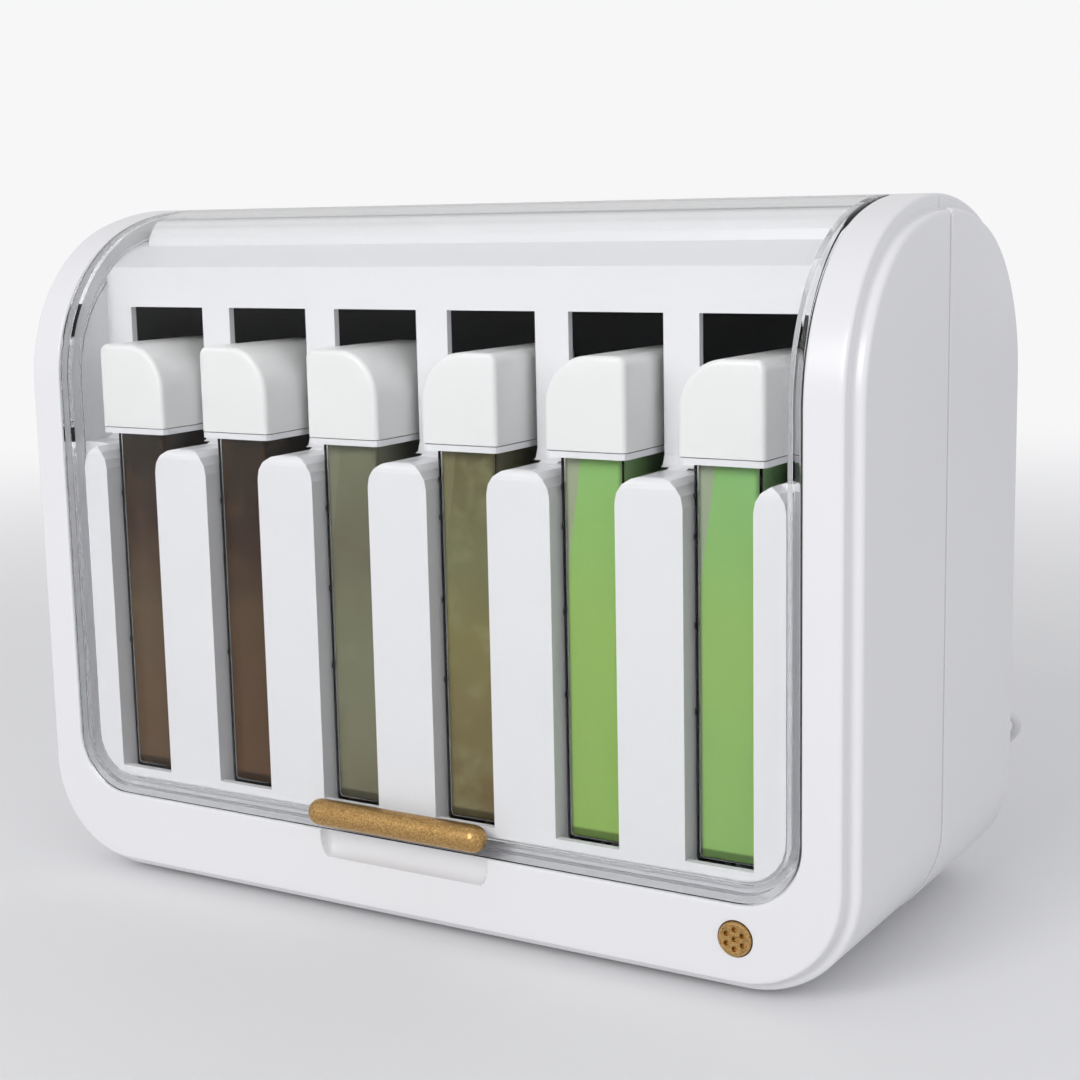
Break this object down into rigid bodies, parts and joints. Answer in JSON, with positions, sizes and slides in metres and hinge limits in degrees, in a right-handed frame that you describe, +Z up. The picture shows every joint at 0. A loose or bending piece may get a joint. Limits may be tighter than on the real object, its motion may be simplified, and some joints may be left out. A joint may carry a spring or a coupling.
{
  "type": "roll on wax heater",
  "caption": "Table-top heater for roll-on wax cartridges: a white arched case with a clear hinged lid, slotted inner tray, heater block, capped cartridges with rollers and a mains lead.",
  "frame": {"origin": "on the standing surface, under the middle of the case's bounding box without its lead", "axes": "+X to the right seen from the front, +Y from the front to the back, +Z up"},
  "size_m": [0.3146, 0.2956, 0.2348],
  "materials": {
    "white_plastic": "smooth moulded white",
    "clear_acrylic": "clear polished",
    "gold_metal": "metallic gold flake",
    "steel": "plain",
    "foot_rubber": "soft matte",
    "black_sheet": "satin black",
    "aluminium": "cast",
    "film": "amber film",
    "black_plastic": "matte",
    "circuit_board": "solder mask",
    "clear_bottle": "clear moulded",
    "white_lead": "soft cable sheath",
    "wax_1": "waxy",
    "wax_2": "waxy",
    "wax_3": "waxy",
    "wax_4": "waxy",
    "wax_5": "waxy",
    "wax_6": "waxy"
  },
  "bodies": {
    "housing": {"front_shell": "white_plastic", "rear_shell": "white_plastic", "inner_tray": "white_plastic", "foot_front_left": "foot_rubber", "foot_front_right": "foot_rubber", "foot_rear_left": "foot_rubber", "foot_rear_right": "foot_rubber", "shell_screw_1": "steel", "shell_screw_2": "steel", "shell_screw_3": "steel", "shell_screw_4": "steel", "heat_chamber": "black_sheet", "heater_block": "aluminium", "heating_film": "film", "thermostat": "steel", "thermal_fuse": "white_plastic", "button_switch": "black_plastic", "control_board": "circuit_board", "hinge_pin_left": "steel", "hinge_pin_right": "steel", "cord_grip": "white_lead", "cord": "white_lead", "cord_coil": "white_lead", "plug": "white_lead", "plug_blade_left": "steel", "plug_blade_right": "steel"},
    "lid": {"lid": "clear_acrylic", "lid_handle": "gold_metal"},
    "power_button": {"power_button": "gold_metal"},
    "cartridge_1": {"cartridge_body_1": "clear_bottle", "wax_1": "wax_1", "roller_head_1": "white_plastic"},
    "roller_1": {"roller_1": "white_plastic"},
    "cap_1": {"cap_1": "white_plastic"},
    "cartridge_2": {"cartridge_body_2": "clear_bottle", "wax_2": "wax_2", "roller_head_2": "white_plastic"},
    "roller_2": {"roller_2": "white_plastic"},
    "cap_2": {"cap_2": "white_plastic"},
    "cartridge_3": {"cartridge_body_3": "clear_bottle", "wax_3": "wax_3", "roller_head_3": "white_plastic"},
    "roller_3": {"roller_3": "white_plastic"},
    "cap_3": {"cap_3": "white_plastic"},
    "cartridge_4": {"cartridge_body_4": "clear_bottle", "wax_4": "wax_4", "roller_head_4": "white_plastic"},
    "roller_4": {"roller_4": "white_plastic"},
    "cap_4": {"cap_4": "white_plastic"},
    "cartridge_5": {"cartridge_body_5": "clear_bottle", "wax_5": "wax_5", "roller_head_5": "white_plastic"},
    "roller_5": {"roller_5": "white_plastic"},
    "cap_5": {"cap_5": "white_plastic"},
    "cartridge_6": {"cartridge_body_6": "clear_bottle", "wax_6": "wax_6", "roller_head_6": "white_plastic"},
    "roller_6": {"roller_6": "white_plastic"},
    "cap_6": {"cap_6": "white_plastic"}
  },
  "joints": [
    {"name": "lid_hinge", "type": "hinge", "parent": "housing", "child": "lid", "pos_m": [0, -0.00755, 0.22981], "axis": [-1, 0, 0], "range_deg": [0, 100]},
    {"name": "power_button_press", "type": "slide", "parent": "housing", "child": "power_button", "axis": [0, 1, 0], "range_m": [0, 0.0008], "stiffness_N_per_m": 1200},
    {"name": "cartridge_lift_1", "type": "slide", "parent": "housing", "child": "cartridge_1", "axis": [0, 0, 1], "range_m": [0, 0.0026]},
    {"name": "roller_spin_1", "type": "hinge", "parent": "cartridge_1", "child": "roller_1", "pos_m": [-0.1125, -0.03705, 0.1711], "axis": [0, 1, 0], "continuous": true},
    {"name": "cap_pull_1", "type": "slide", "parent": "cartridge_1", "child": "cap_1", "axis": [0, 0, 1], "range_m": [0, 0.0024]},
    {"name": "cartridge_lift_2", "type": "slide", "parent": "housing", "child": "cartridge_2", "axis": [0, 0, 1], "range_m": [0, 0.0026]},
    {"name": "roller_spin_2", "type": "hinge", "parent": "cartridge_2", "child": "roller_2", "pos_m": [-0.0675, -0.03705, 0.1711], "axis": [0, 1, 0], "continuous": true},
    {"name": "cap_pull_2", "type": "slide", "parent": "cartridge_2", "child": "cap_2", "axis": [0, 0, 1], "range_m": [0, 0.0024]},
    {"name": "cartridge_lift_3", "type": "slide", "parent": "housing", "child": "cartridge_3", "axis": [0, 0, 1], "range_m": [0, 0.0026]},
    {"name": "roller_spin_3", "type": "hinge", "parent": "cartridge_3", "child": "roller_3", "pos_m": [-0.0225, -0.03705, 0.1711], "axis": [0, 1, 0], "continuous": true},
    {"name": "cap_pull_3", "type": "slide", "parent": "cartridge_3", "child": "cap_3", "axis": [0, 0, 1], "range_m": [0, 0.0024]},
    {"name": "cartridge_lift_4", "type": "slide", "parent": "housing", "child": "cartridge_4", "axis": [0, 0, 1], "range_m": [0, 0.0026]},
    {"name": "roller_spin_4", "type": "hinge", "parent": "cartridge_4", "child": "roller_4", "pos_m": [0.0225, -0.03705, 0.1711], "axis": [0, 1, 0], "continuous": true},
    {"name": "cap_pull_4", "type": "slide", "parent": "cartridge_4", "child": "cap_4", "axis": [0, 0, 1], "range_m": [0, 0.0024]},
    {"name": "cartridge_lift_5", "type": "slide", "parent": "housing", "child": "cartridge_5", "axis": [0, 0, 1], "range_m": [0, 0.0026]},
    {"name": "roller_spin_5", "type": "hinge", "parent": "cartridge_5", "child": "roller_5", "pos_m": [0.0675, -0.03705, 0.1711], "axis": [0, 1, 0], "continuous": true},
    {"name": "cap_pull_5", "type": "slide", "parent": "cartridge_5", "child": "cap_5", "axis": [0, 0, 1], "range_m": [0, 0.0024]},
    {"name": "cartridge_lift_6", "type": "slide", "parent": "housing", "child": "cartridge_6", "axis": [0, 0, 1], "range_m": [0, 0.0026]},
    {"name": "roller_spin_6", "type": "hinge", "parent": "cartridge_6", "child": "roller_6", "pos_m": [0.1125, -0.03705, 0.1711], "axis": [0, 1, 0], "continuous": true},
    {"name": "cap_pull_6", "type": "slide", "parent": "cartridge_6", "child": "cap_6", "axis": [0, 0, 1], "range_m": [0, 0.0024]}
  ]
}
